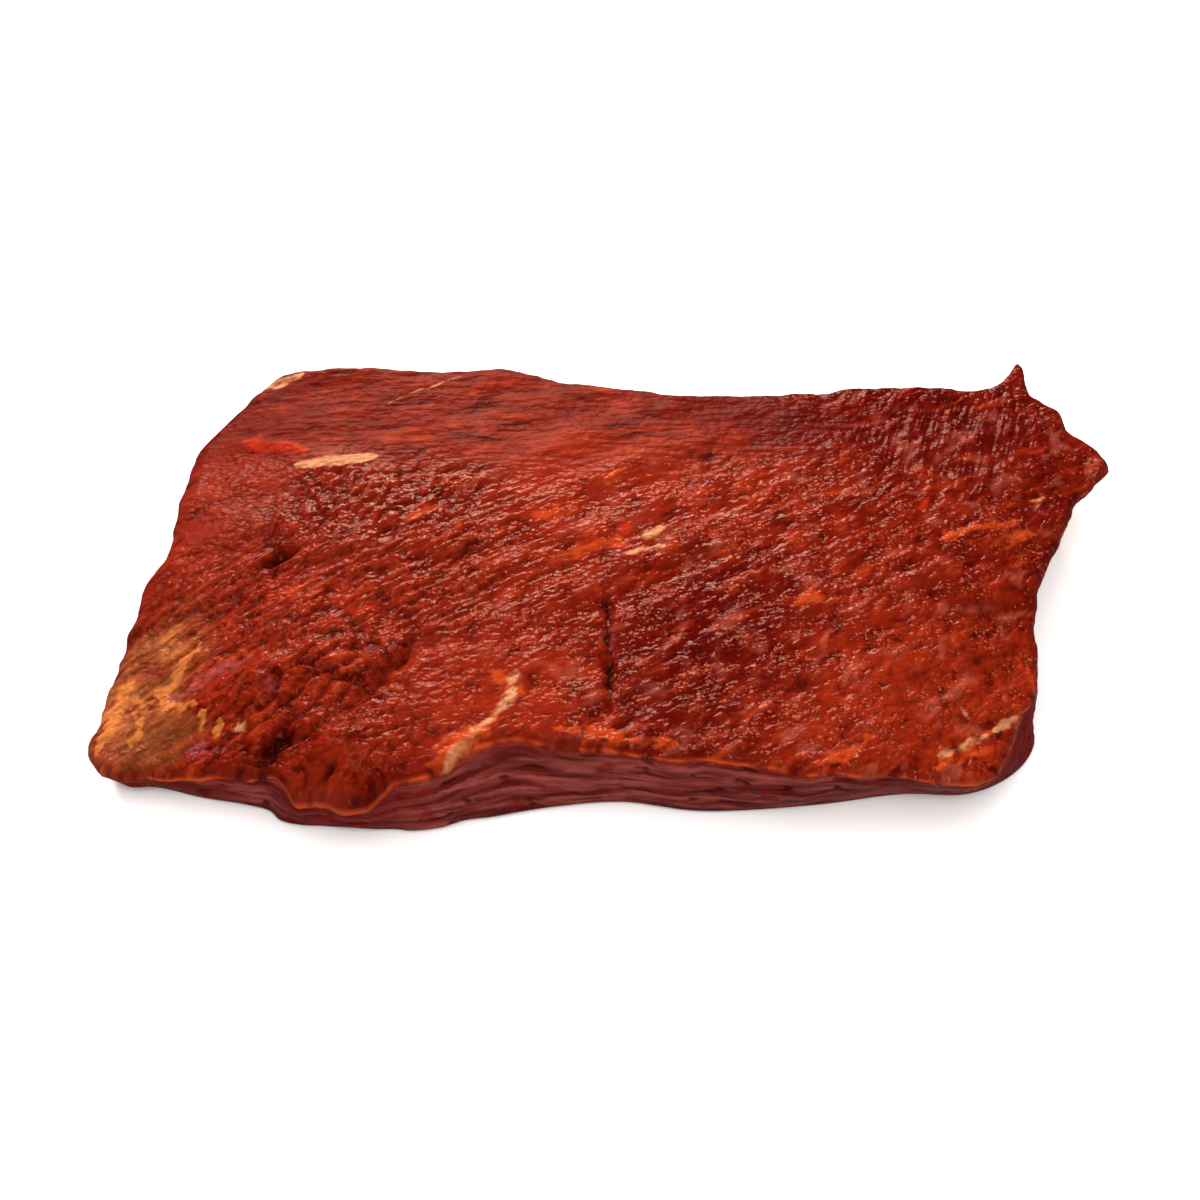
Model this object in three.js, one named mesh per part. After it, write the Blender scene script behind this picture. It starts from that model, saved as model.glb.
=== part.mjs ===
// Raw beef round roast: one thick boneless slab of beef lying flat on its cut underside.
// Millimetres, +Z up, longest side along X, origin under the middle of the slab.
import * as THREE from 'three';

// Overall form
const THICKNESS = 32;
const FOOT_ROUND = 2.5;
const EDGE_REACH = 1.2;
const CORNER_BLEND = 4;
const WALL_BULGE = 0.02;
const WALL_RIPPLE = 0.5;

// Mesh density
const CELLS_ALONG = 82;
const CELLS_ACROSS = 42;
const WALL_ROWS = 4;
const FOOT_ROWS = 2;
const END_DENSITY = 0.6;
const CURVE_STEPS = 24;

// Stations round the slab, anticlockwise from the front left corner.
// Each is [rim x, rim y, drop of the rim below the upper face, foot x, foot y].
const FRONT_STATIONS = [
  [-137.5, -57, 4, -133.5, -53.5],
  [-123, -60.5, 4, -122, -55.5],
  [-111, -62.5, 4, -111, -58.5],
  [-98, -64.5, 4, -98, -61],
  [-89, -66.5, 3.5, -91.5, -63],
  [-85.5, -69, 6, -88.5, -66],
  [-82, -72, 12, -83, -67.5],
  [-76.5, -71.5, 13, -76, -68],
  [-70, -74.5, 14, -69, -68.5],
  [-63, -74.5, 13, -62, -69],
  [-58.5, -73, 8, -56.5, -69],
  [-54, -71.5, 4, -52, -69.5],
  [-46, -69.5, 3, -44, -68.5],
  [-38.5, -65, 3, -37, -66],
  [-31, -60, 2.5, -30, -65],
  [-24, -58, 2.5, -23, -63.5],
  [-12, -60.5, 2.5, -12, -61.5],
  [6, -63, 2.5, 6, -60],
  [28, -65.5, 2.5, 28, -63],
  [60, -69.5, 2.5, 60, -61],
  [80, -69, 3, 84, -57.5],
  [98, -68.5, 3, 102, -57.5],
];
const RIGHT_STATIONS = [
  [106, -65.5, 3, 112, -53.5],
  [111, -57.5, 3, 119, -47.5],
  [115, -47, 3, 122.5, -41],
  [121, -38, 3, 122.5, -35],
  [122.5, -28, 3, 119, -28],
  [122, -19, 3, 116, -19],
  [124, -6, 3, 117, -6],
  [130, 9, 3, 122, 8],
  [136, 22, 3, 127, 20],
  [140, 31, 3, 130, 30],
  [145, 36, 3, 132, 37],
  [151.5, 45.5, 4, 135, 44],
  [147.5, 51, 3, 134, 49],
  [140, 58, 3, 131, 54],
  [137.5, 66, 3, 129, 59],
  [130.5, 72.5, 3, 126, 63],
];
const BACK_STATIONS = [
  [128, 84, 0.5, 123, 66],
  [121.5, 76.5, 2, 118, 67],
  [115, 74, 3, 111, 67],
  [92, 75, 4, 90, 67.5],
  [76, 74, 4, 75, 67],
  [54, 71, 4, 54, 64.5],
  [26, 71, 4, 26, 64.5],
  [6, 73.5, 4, 6, 67],
  [-12, 77.5, 4, -12, 71],
  [-26, 81, 4, -26, 74],
  [-42, 81, 4, -42, 74.5],
  [-82, 81.5, 4, -80, 74.5],
];
const LEFT_STATIONS = [
  [-97, 82, 5, -93, 73],
  [-108, 71.5, 5, -102, 65],
  [-120, 56, 5, -113, 51],
  [-124, 38, 5, -117, 36],
  [-126, 14, 5, -119.5, 13],
  [-132, 1, 5, -125, 0],
  [-136.5, -20, 5, -130, -19],
  [-140.5, -38, 5, -135.5, -36],
  [-141.5, -50, 4, -137, -47.5],
];

// Soft lumps and dips of the upper face: [x, y, height, half length, half width, turn in degrees].
const HILLS = [
  [-67, -66, 2.5, 13, 9, 50],
  [-62, 8, 2.6, 30, 20, 20],
  [-94, -34, 2.4, 17, 7, 22],
  [-60, -33.5, 1.6, 9, 3.5, 48],
  [80, -12, 1.8, 45, 35, 0],
  [0, 50, 1.5, 40, 15, 0],
  [-105, 30, 1.2, 14, 30, -15],
  [-40, -40, 1.2, 20, 14, 35],
  [-99, 3, 1, 5, 4, 0],
];
const HOLLOWS = [
  [-91.5, 4.5, 5, 4.5, 3.2, 20],
  [-84.5, -58.5, 5.5, 9, 4, 28],
  [-75, -43.5, 1.5, 4, 2.5, 45],
  [140, 42, 1.5, 6, 12, 20],
];

// Seams between muscle bundles: points along each seam, its depth and its half width.
const SEAMS = [
  { depth: 3.2, width: 2.6, points: [[-84, -62], [-76, -52], [-66.5, -45.5], [-57, -37], [-50, -28.5], [-39, -24]] },
  { depth: 2.3, width: 1.7, points: [[4, -3], [2, -18], [3, -31], [2, -40], [3.5, -54]] },
  { depth: 1.3, width: 2, points: [[-121, -38], [-101, -31.5], [-87.5, -24]] },
  { depth: 1.3, width: 2.4, points: [[-86.5, -4], [-74, 2.5], [-63, 7], [-55, 14.5]] },
  { depth: 1.6, width: 1.6, points: [[-79, -74], [-74, -68.5], [-67, -64.5]] },
];

// Ease from 0 to 1 over the range 0 to 1.
function ease(t) {
  const s = THREE.MathUtils.clamp(t, 0, 1);
  return s * s * (3 - 2 * s);
}

// Height of the upper face before its relief: thick in the middle, thinner to the left and right front.
function faceHeight(x, y) {
  const leftFall = 12 * ease((-70 - x) / 80);
  const rightFall = 2 * ease((x - 40) / 120);
  const cornerFall = 8 * ease((x - 0.6 * y - 100) / 60);
  const backFall = 4 * ease((y - 10) / 70);
  const frontLeftFall = 6 * ease((-x - 0.8 * y - 110) / 60);
  return THICKNESS - leftFall - rightFall - cornerFall - backFall - frontLeftFall;
}

// Long low ripples left by the muscle grain.
function ripples(x, y) {
  const alongBack = (0.34 * x - 0.94 * y + 5 * Math.sin(x / 31)) / 2.9;
  const alongFront = (0.62 * x + 0.78 * y + 4 * Math.sin(y / 17)) / 4.3;
  const first = 0.45 * Math.sin(alongBack) * (0.6 + 0.4 * Math.sin(x / 19 + 1));
  const second = 0.35 * Math.sin(alongFront + 1.7 * Math.sin(x / 37));
  return first + second;
}

// A smooth turned oval mound of height 1.
function mound(x, y, [centreX, centreY, , halfLength, halfWidth, turn]) {
  const angle = THREE.MathUtils.degToRad(turn);
  const dx = x - centreX;
  const dy = y - centreY;
  const along = (dx * Math.cos(angle) + dy * Math.sin(angle)) / halfLength;
  const across = (dy * Math.cos(angle) - dx * Math.sin(angle)) / halfWidth;
  return Math.exp(-(along * along + across * across));
}

// Depth of one seam at a point, fading to nothing at both of its ends.
function seamDepth(x, y, seam) {
  const pieces = seam.points.slice(1).map((end, k) => {
    const start = seam.points[k];
    const length = Math.hypot(end[0] - start[0], end[1] - start[1]);
    return { start, end, length };
  });
  const total = pieces.reduce((sum, piece) => sum + piece.length, 0);
  let nearest = Infinity;
  let share = 0;
  let passed = 0;
  for (const { start, end, length } of pieces) {
    const dx = (end[0] - start[0]) / length;
    const dy = (end[1] - start[1]) / length;
    const along = THREE.MathUtils.clamp((x - start[0]) * dx + (y - start[1]) * dy, 0, length);
    const distance = Math.hypot(x - start[0] - along * dx, y - start[1] - along * dy);
    if (distance < nearest) {
      nearest = distance;
      share = (passed + along) / total;
    }
    passed += length;
  }
  const profile = Math.exp(-((nearest / seam.width) ** 2));
  return seam.depth * profile * ease(share * 4) * ease((1 - share) * 4);
}

// Full height of the upper face, with mounds, hollows and seams.
function reliefHeight(x, y) {
  let z = faceHeight(x, y) + ripples(x, y);
  for (const hill of HILLS) {
    z += hill[2] * mound(x, y, hill);
  }
  for (const hollow of HOLLOWS) {
    z -= hollow[2] * mound(x, y, hollow);
  }
  for (const seam of SEAMS) {
    z -= seamDepth(x, y, seam);
  }
  return z;
}

// Fall of the face near one side: a quarter ellipse that ends upright at the rim.
function edgeFall(distance, drop) {
  const reach = EDGE_REACH * drop;
  const q = THREE.MathUtils.clamp(1 - distance / reach, 0, 1);
  return drop * (1 - Math.sqrt(1 - q * q));
}

// Even shares of a side from 0 to 1, drawn closer together at both ends.
function shares(count) {
  return Array.from({ length: count + 1 }, (_, k) => {
    const s = k / count;
    return s - (END_DENSITY * Math.sin(2 * Math.PI * s)) / (2 * Math.PI);
  });
}

// Rim and foot of one side, sampled along smooth closed curves through all stations.
function sampleSide(rimCurve, footCurve, firstStation, lastStation, stationCount, cellCount) {
  const steps = (lastStation - firstStation) * CURVE_STEPS;
  const knots = [];
  let travelled = 0;
  let previous = null;
  for (let k = 0; k <= steps; k += 1) {
    const t = (firstStation + k / CURVE_STEPS) / stationCount;
    const point = rimCurve.getPoint(t);
    if (previous) {
      travelled += Math.hypot(point.x - previous.x, point.y - previous.y);
    }
    knots.push({ t, travelled });
    previous = point;
  }
  let knot = 0;
  return shares(cellCount).map((share) => {
    const wanted = share * travelled;
    while (knot < steps - 1 && knots[knot + 1].travelled < wanted) {
      knot += 1;
    }
    const low = knots[knot];
    const high = knots[knot + 1];
    const blend = THREE.MathUtils.clamp((wanted - low.travelled) / (high.travelled - low.travelled), 0, 1);
    const t = low.t + (high.t - low.t) * blend;
    const rim = rimCurve.getPoint(t);
    const foot = footCurve.getPoint(t);
    return { x: rim.x, y: rim.y, drop: rim.z, footX: foot.x, footY: foot.y };
  });
}

// The four sides of the slab as sampled rows.
function sampleOutline() {
  const sides = [FRONT_STATIONS, RIGHT_STATIONS, BACK_STATIONS, LEFT_STATIONS];
  const stations = sides.flat();
  const rimPoints = stations.map(([x, y, drop]) => new THREE.Vector3(x, y, drop));
  const footPoints = stations.map(([, , , x, y]) => new THREE.Vector3(x, y, 0));
  const rimCurve = new THREE.CatmullRomCurve3(rimPoints, true, 'centripetal');
  const footCurve = new THREE.CatmullRomCurve3(footPoints, true, 'centripetal');
  const cells = [CELLS_ALONG, CELLS_ACROSS, CELLS_ALONG, CELLS_ACROSS];
  let first = 0;
  return sides.map((side, k) => {
    const last = first + side.length;
    const row = sampleSide(rimCurve, footCurve, first, last, stations.length, cells[k]);
    first = last;
    return row;
  });
}

// Point of the upper face blended from the four sides, with u along and v across.
function blendSides([front, right, back, left], i, j, u, v) {
  const near = front[i];
  const far = back[CELLS_ALONG - i];
  const west = left[CELLS_ACROSS - j];
  const east = right[j];
  const blendOne = (axis) => {
    const acrossPart = (1 - v) * near[axis] + v * far[axis];
    const alongPart = (1 - u) * west[axis] + u * east[axis];
    const frontCorners = (1 - u) * front[0][axis] + u * right[0][axis];
    const backCorners = (1 - u) * left[0][axis] + u * back[0][axis];
    return acrossPart + alongPart - (1 - v) * frontCorners - v * backCorners;
  };
  const x = blendOne('x');
  const y = blendOne('y');
  const falls = [near, far, west, east].map((edge) => {
    const distance = Math.hypot(x - edge.x, y - edge.y);
    return edgeFall(distance, edge.drop) ** CORNER_BLEND;
  });
  const fall = falls.reduce((sum, one) => sum + one, 0) ** (1 / CORNER_BLEND);
  return [x, y, reliefHeight(x, y) - fall];
}

// The wall row at one share of the way from the rim down to the foot.
function wallRow(rim, foot, outward, share) {
  const swell = 4 * share * (1 - share);
  return rim.map(([x, y, z], k) => {
    const ripple = WALL_RIPPLE * Math.sin(k / 2.3 + 5 * share) * Math.sin(k / 9.7 + 2);
    const push = swell * (WALL_BULGE * z + ripple);
    const wallX = x + (foot[k].x - x) * share + outward[k].x * push;
    const wallY = y + (foot[k].y - y) * share + outward[k].y * push;
    return [wallX, wallY, z + (FOOT_ROUND - z) * share];
  });
}

// The rounded row that turns the wall under onto the flat underside.
function footRow(foot, outward, share) {
  const angle = (share * Math.PI) / 2;
  const inset = FOOT_ROUND * (1 - Math.cos(angle));
  const height = share === 1 ? 0 : FOOT_ROUND * (1 - Math.sin(angle));
  return foot.map(({ x, y }, k) => [x - outward[k].x * inset, y - outward[k].y * inset, height]);
}

// Outward directions of a closed row of points.
function outwardDirections(row) {
  return row.map((_, k) => {
    const next = row[(k + 1) % row.length];
    const before = row[(k + row.length - 1) % row.length];
    return new THREE.Vector2(next.y - before.y, before.x - next.x).normalize();
  });
}

// The whole slab as one closed skin: upper face, wall, rounded foot and flat underside.
function slabGeometry() {
  const sides = sampleOutline();
  const along = shares(CELLS_ALONG);
  const across = shares(CELLS_ACROSS);
  const positions = [];
  const triangles = [];
  const cell = (i, j) => i * (CELLS_ACROSS + 1) + j;
  for (let i = 0; i <= CELLS_ALONG; i += 1) {
    for (let j = 0; j <= CELLS_ACROSS; j += 1) {
      positions.push(blendSides(sides, i, j, along[i], across[j]));
    }
  }
  for (let i = 0; i < CELLS_ALONG; i += 1) {
    for (let j = 0; j < CELLS_ACROSS; j += 1) {
      triangles.push([cell(i, j), cell(i + 1, j), cell(i + 1, j + 1)]);
      triangles.push([cell(i, j), cell(i + 1, j + 1), cell(i, j + 1)]);
    }
  }
  const front = Array.from({ length: CELLS_ALONG }, (_, k) => cell(k, 0));
  const right = Array.from({ length: CELLS_ACROSS }, (_, k) => cell(CELLS_ALONG, k));
  const back = Array.from({ length: CELLS_ALONG }, (_, k) => cell(CELLS_ALONG - k, CELLS_ACROSS));
  const left = Array.from({ length: CELLS_ACROSS }, (_, k) => cell(0, CELLS_ACROSS - k));
  let upper = [...front, ...right, ...back, ...left];
  const rim = upper.map((index) => positions[index]);
  const foot = sides.flatMap((side) => side.slice(0, -1)).map(({ footX, footY }) => ({ x: footX, y: footY }));
  const outward = outwardDirections(foot);
  const rows = [];
  for (let k = 1; k <= WALL_ROWS; k += 1) {
    rows.push(wallRow(rim, foot, outward, k / WALL_ROWS));
  }
  for (let k = 1; k <= FOOT_ROWS; k += 1) {
    rows.push(footRow(foot, outward, k / FOOT_ROWS));
  }
  for (const row of rows) {
    const lower = row.map((_, k) => positions.length + k);
    positions.push(...row);
    lower.forEach((index, k) => {
      const next = (k + 1) % lower.length;
      triangles.push([upper[k], lower[next], upper[next]]);
      triangles.push([upper[k], index, lower[next]]);
    });
    upper = lower;
  }
  const contact = upper.map((index) => new THREE.Vector2(positions[index][0], positions[index][1]));
  for (const [a, b, c] of THREE.ShapeUtils.triangulateShape(contact, [])) {
    triangles.push([upper[c], upper[b], upper[a]]);
  }
  const geometry = new THREE.BufferGeometry();
  geometry.setAttribute('position', new THREE.Float32BufferAttribute(positions.flat(), 3));
  geometry.setIndex(triangles.flat());
  return geometry;
}

// The roast, set with its origin under the middle of its length and width.
function beefRoast() {
  const geometry = slabGeometry();
  geometry.computeBoundingBox();
  const centre = geometry.boundingBox.getCenter(new THREE.Vector3());
  geometry.translate(-centre.x, -centre.y, 0);
  geometry.computeVertexNormals();
  const material = new THREE.MeshStandardMaterial({ color: 0x8a2c1c, roughness: 0.42, metalness: 0 });
  const mesh = new THREE.Mesh(geometry, material);
  mesh.name = 'beef_roast';
  return mesh;
}

const part = new THREE.Group();
part.name = 'beef_round_roast';
part.add(beefRoast());

export default part;
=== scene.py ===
"""Raw beef round roast: one thick boneless slab of lean beef on a pale studio floor."""
import math

import bpy
import numpy as np
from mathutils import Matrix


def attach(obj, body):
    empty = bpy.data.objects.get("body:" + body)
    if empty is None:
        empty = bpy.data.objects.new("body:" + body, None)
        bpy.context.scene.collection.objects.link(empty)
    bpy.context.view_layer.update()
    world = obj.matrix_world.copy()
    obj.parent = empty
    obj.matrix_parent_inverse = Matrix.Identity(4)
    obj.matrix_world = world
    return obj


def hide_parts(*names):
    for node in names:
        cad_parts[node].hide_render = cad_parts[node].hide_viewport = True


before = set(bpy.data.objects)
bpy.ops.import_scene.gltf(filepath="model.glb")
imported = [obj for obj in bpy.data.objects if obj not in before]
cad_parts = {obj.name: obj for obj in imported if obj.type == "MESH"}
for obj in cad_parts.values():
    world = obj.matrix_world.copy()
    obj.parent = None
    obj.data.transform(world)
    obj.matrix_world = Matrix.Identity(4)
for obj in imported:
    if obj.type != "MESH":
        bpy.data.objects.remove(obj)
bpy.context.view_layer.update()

MM = 0.001

# Overall form, in millimetres
THICKNESS = 32.0
FOOT_ROUND = 2.5
EDGE_REACH = 1.2
CORNER_BLEND = 4
WALL_BULGE = 0.02
CENTRE = np.array([4.82, 4.61])
RIM_WANDER = (0.8, 0.6)
RIM_WANDER_CELL = 9
FINE_REACH = 3.5
RIM_RELIEF = 0.15

# Falls of the upper face to its thinner ends: (drop, share of x, share of y, start, run).
FALLS = [
    (12, -1, 0, 70, 80), (2, 1, 0, 40, 120), (8, 1, -0.6, 100, 60), (4, 0, 1, 10, 70),
    (6, -1, -0.8, 110, 60),
]

# Mesh density of the slab
CELLS_ALONG = 372
CELLS_ACROSS = 184
WALL_ROWS = 20
FOOT_ROWS = 4
END_DENSITY = 0.6
CURVE_STEPS = 24

# Places of the fine bumps: their sway, the cell of the sway, and the depth that a foot row adds
SPREAD_SWAY = 0.45
SPREAD_SWAY_CELL = 2.6
FOOT_STEP = 0.6

# Fibre directions of the back, of the far right and of the rest, in degrees
FIBRE_TURNS = (2, 74, 30)

# Patterns along the grain: (direction in degrees, length of a cell, width of a cell, seed).
BACK_ROWS, NARROW_BACK_ROWS = (1, 40, 5.5, 11), (3, 19, 2.4, 12)
BUNDLES, SLANTED_ROWS = (30, 15, 2.9, 13), (29, 22, 5.6, 14)
UPRIGHT_ROWS, GRAINED_ROWS = (74, 8, 4.2, 15), (38, 11, 4.4, 18)
FOLDS, CRUMPLES = (38, 6.6, 4.2, 16), (15, 3.4, 2.6, 17)
CLUMPS, LUMPS = (42, 4.4, 3.1, 19), (36, 11, 6.2, 21)
BLOTCHES, STREAKS = (30, 8, 4.4, 64), (30, 16, 2.6, 67)
BACK_STREAKS, FILMS = (2, 22, 3.0, 70), (38, 12, 6, 88)

# Stations round the slab, anticlockwise from the front left corner.
# Each is (rim x, rim y, drop of the rim below the upper face, foot x, foot y).
FRONT_STATIONS = [
    (-137.5, -57, 4, -133.5, -53.5), (-123, -60.5, 4, -122, -55.5), (-111, -62.5, 4, -111, -58.5),
    (-98, -64.5, 4, -98, -61), (-89, -66.5, 3.5, -91.5, -63), (-85.5, -69, 6, -88.5, -66),
    (-82, -72, 12, -83, -67.5), (-76.5, -71.5, 13, -76, -68), (-70, -74.5, 14, -69, -68.5),
    (-63, -74.5, 13, -62, -69), (-58.5, -73, 8, -56.5, -69), (-54, -71.5, 4, -52, -69.5),
    (-46, -69.5, 3, -44, -68.5), (-38.5, -65, 3, -37, -66), (-31, -60, 2.5, -30, -65),
    (-24, -58, 2.5, -23, -63.5), (-12, -60.5, 2.5, -12, -61.5), (6, -63, 2.5, 6, -60),
    (28, -65.5, 2.5, 28, -63), (60, -69.5, 2.5, 60, -61), (80, -69, 3, 84, -57.5),
    (98, -68.5, 3, 102, -57.5),
]
RIGHT_STATIONS = [
    (106, -65.5, 3, 112, -53.5), (111, -57.5, 3, 119, -47.5), (115, -47, 3, 122.5, -41),
    (121, -38, 3, 122.5, -35), (122.5, -28, 3, 119, -28), (122, -19, 3, 116, -19),
    (124, -6, 3, 117, -6), (130, 9, 3, 122, 8), (136, 22, 3, 127, 20), (140, 31, 3, 130, 30),
    (145, 36, 3, 132, 37), (151.5, 45.5, 4, 135, 44), (147.5, 51, 3, 134, 49),
    (140, 58, 3, 131, 54), (137.5, 66, 3, 129, 59), (130.5, 72.5, 3, 126, 63),
]
BACK_STATIONS = [
    (128, 84, 0.5, 123, 66), (121.5, 76.5, 2, 118, 67), (115, 74, 3, 111, 67), (92, 75, 4, 90, 67.5),
    (76, 74, 4, 75, 67), (54, 71, 4, 54, 64.5), (26, 71, 4, 26, 64.5), (6, 73.5, 4, 6, 67),
    (-12, 77.5, 4, -12, 71), (-26, 81, 4, -26, 74), (-42, 81, 4, -42, 74.5), (-82, 81.5, 4, -80, 74.5),
]
LEFT_STATIONS = [
    (-97, 82, 5, -93, 73), (-108, 71.5, 5, -102, 65), (-120, 56, 5, -113, 51), (-124, 38, 5, -117, 36),
    (-126, 14, 5, -119.5, 13), (-132, 1, 5, -125, 0), (-136.5, -20, 5, -130, -19),
    (-140.5, -38, 5, -135.5, -36), (-141.5, -50, 4, -137, -47.5),
]

# Soft lumps and dips of the upper face: (x, y, height, half length, half width, turn in degrees).
HILLS = [
    (-67, -66, 2.5, 13, 9, 50), (-62, 8, 2.6, 30, 20, 20), (-92, -36, 3.4, 17, 7, 24),
    (-60, -33.5, 1.6, 9, 3.5, 48), (80, -12, 1.8, 45, 35, 0), (0, 50, 1.5, 40, 15, 0),
    (-105, 30, 1.2, 14, 30, -15), (-40, -40, 1.2, 20, 14, 35), (-95.5, 3.2, 2.0, 3.6, 3.0, 0),
    (15, 12, 1.0, 4, 3, 35), (-97, 49.3, 1.2, 11, 2.0, -16), (-70, -60, 1.6, 11, 6, 35),
]
HOLLOWS = [
    (-90.5, 4.6, 5.5, 2.6, 1.9, 20), (-87, -59.5, 5.0, 8, 3.8, 28), (-75, -43.5, 1.5, 4, 2.5, 45),
    (140, 42, 1.5, 6, 12, 20),
]
# How many of the first hollows also get painted shade.
SHADED_HOLLOWS = 3

# Seams between muscle bundles: (depth, half width, points along the seam).
SEAMS = [
    (1.7, 2.6, [(-84, -62), (-76, -52), (-66.5, -45.5), (-57, -37), (-50, -28.5), (-39, -24)]),
    (0.6, 1.6, [(4, -3), (2, -18), (3, -31), (2, -40), (3.5, -54)]),
    (1.3, 2.0, [(-121, -38), (-101, -31.5), (-87.5, -24)]),
    (1.3, 2.4, [(-86.5, -4), (-74, 2.5), (-63, 7), (-55, 14.5)]),
    (1.6, 1.6, [(-79, -74), (-74, -68.5), (-67, -64.5)]),
]

# Narrow cracks that only the fine mesh can carry.
CRACKS = [
   
    (1.3, 0.9, [(-84, -62), (-76, -52), (-66.5, -45.5), (-57, -37), (-50, -28.5), (-39, -24)]),
    (0.9, 0.9, [(-71, -51), (-66, -55), (-62, -63)]), (0.9, 0.9, [(-60, -40), (-52, -43), (-46, -50)]),
    (0.8, 0.8, [(-74, -37), (-62, -30), (-50, -19)]), (0.8, 0.8, [(-97, -50), (-88, -46), (-80, -38)]),
    (2.4, 0.75, [(4, -3), (2, -18), (3, -31), (2, -40), (3.5, -54)]),
    (1.4, 1.0, [(-79, -76), (-78.5, -71), (-74, -68.5), (-67, -64)]),
    (1.0, 0.8, [(-121, -38.5), (-111, -36), (-101, -32), (-93, -28)]),
    (2.0, 0.8, [(-96, 3), (-92.5, 2.2), (-89, 3.2), (-87, 6.5)]),
    (0.8, 0.7, [(21, -26), (25, -20)]),
    (0.9, 0.8, [(-47, -31), (-38, -27), (-30, -28)]),
    (0.8, 0.8, [(-75, -53), (-70, -42), (-68, -36)]),
]

# Kinds of surface: ovals of (centre x, centre y, half length, half width, turn in degrees, soft edge).
ZONE_OVALS = {
    "back": (-30, 62, 95, 24, -3, 0.35), "crinkled": (-66, 24, 36, 17, 8, 0.35),
    "crinkled fold": (-64, -59, 18, 11, 12, 0.35), "slanted": (-88, -18, 72, 34, 28, 0.35),
    "upright": (104, 52, 28, 20, 0, 0.35), "smooth": (-6, 22, 26, 26, 0, 0.5),
    "lumpy": (-76, -44, 34, 17, 38, 0.5),
}

# Single places of the surface, as ovals of the same kind.
ROUGH_FOLD = (-68, -64, 20, 11, 0, 0.5)
DULL_LEFT = (-108, 30, 18, 40, -15, 0.5)
FOLD_LIP = (-72, -71, 18, 7, 0, 0.3)
BROWN_END = (-127, -34, 24, 13, 62, 0.4)
DRIED_SCAB = (-120.5, -51, 11.5, 8, 8, 0.3)

# Ovals that are added up, each with its amount in front: warmer reds, deeper reds, and ruddy sides,
# where the oval under the fold's flap is painted shade.
WARM_OVALS = [
    (1, -10, 30, 60, 34, 10, 0.7), (-0.9, 55, 60, 62, 17, -2, 0.5), (0.9, 85, -48, 55, 24, 0, 0.6),
    (0.8, -32, -45, 40, 16, 10, 0.6), (0.9, -72, -66, 15, 8, 20, 0.5),
    (0.8, -114, 18, 20, 34, -15, 0.5), (0.9, -90, -30, 44, 24, 28, 0.5),
]
SHADE_OVALS = [
    (0.85, 28, -30, 28, 36, 0, 0.6), (0.5, 112, 52, 30, 26, 0, 0.5),
    (0.2, -112, 32, 24, 44, -15, 0.5), (0.35, -60, 64, 70, 20, 0, 0.5),
    (0.25, -20, 26, 50, 30, 0, 0.6), (0.1, -70, -68, 17, 8, 0, 0.5),
]
RUDDY_AND_SHADE_OVALS = [
    (1, 118, -52, 16, 14, 40, 0.4), (0.8, -74, -74, 26, 9, 0, 0.4), (0.6, -122, -58, 26, 8, 0, 0.4),
]


def ease(t):
    """Smooth step: 3 t squared minus 2 t cubed, with t held between 0 and 1."""
    t = np.clip(t, 0, 1)
    return t * t * (3 - 2 * t)


def closed_spline(points, t):
    """Closed Catmull-Rom curve whose knots are spaced by the square root of the chord lengths."""
    count = len(points)
    whole = np.floor(t).astype(int)
    part = (t - whole)[:, None]
    a, b, c, d = (points[(whole + step) % count] for step in (-1, 0, 1, 2))
    gap_ab, gap_bc, gap_cd = (
        np.sqrt(np.linalg.norm(end - start, axis=1, keepdims=True))
        for start, end in ((a, b), (b, c), (c, d))
    )
    leave = ((b - a) / gap_ab - (c - a) / (gap_ab + gap_bc) + (c - b) / gap_bc) * gap_bc
    arrive = ((c - b) / gap_bc - (d - b) / (gap_bc + gap_cd) + (d - c) / gap_cd) * gap_bc
    square = 3 * (c - b) - 2 * leave - arrive
    cube = 2 * (b - c) + leave + arrive
    return b + leave * part + square * part**2 + cube * part**3


def shares(count):
    """Even shares from 0 to 1, less a sine so that they lie closer together at both ends."""
    s = np.arange(count + 1) / count
    return s - END_DENSITY * np.sin(2 * math.pi * s) / (2 * math.pi)


def sample_outline():
    """Rim and foot of the four sides: closed curves through the stations, cut at shares of arc length.

    A layered noise then pushes the rim about a little."""
    sides = [FRONT_STATIONS, RIGHT_STATIONS, BACK_STATIONS, LEFT_STATIONS]
    stations = np.array([station for side in sides for station in side], float)
    firsts = np.cumsum([0] + [len(side) for side in sides])
    cells = (CELLS_ALONG, CELLS_ACROSS, CELLS_ALONG, CELLS_ACROSS)
    rows = []
    for first, last, count in zip(firsts[:-1], firsts[1:], cells):
        t = np.linspace(first, last, (last - first) * CURVE_STEPS + 1)
        curve = closed_spline(stations[:, :3], t)[:, :2]
        travelled = np.append(0, np.cumsum(np.linalg.norm(np.diff(curve, axis=0), axis=1)))
        t = np.interp(shares(count) * travelled[-1], travelled, t)
        rim, foot = closed_spline(stations[:, :3], t), closed_spline(stations[:, 3:], t)
        x, y = rim[:, 0], rim[:, 1]
        rim[:, 0] += RIM_WANDER[0] * layered_noise(x / RIM_WANDER_CELL, y / RIM_WANDER_CELL, 93)
        rim[:, 1] += RIM_WANDER[1] * layered_noise(x / RIM_WANDER_CELL, y / RIM_WANDER_CELL, 97)
        rows.append(np.hstack([rim, foot]))
    return rows


def face_height(x, y):
    """Upper face without relief: the thickness, less a smooth fall for each thin end or corner."""
    return THICKNESS - sum(
        drop * ease((share_x * x + share_y * y - start) / run)
        for drop, share_x, share_y, start, run in FALLS
    )


def turned(x, y, centre_x, centre_y, turn):
    """Distances along and across an axis turned by some degrees about a centre."""
    angle = np.radians(turn)
    dx, dy = x - centre_x, y - centre_y
    along = dx * np.cos(angle) + dy * np.sin(angle)
    return along, dy * np.cos(angle) - dx * np.sin(angle)


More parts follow.
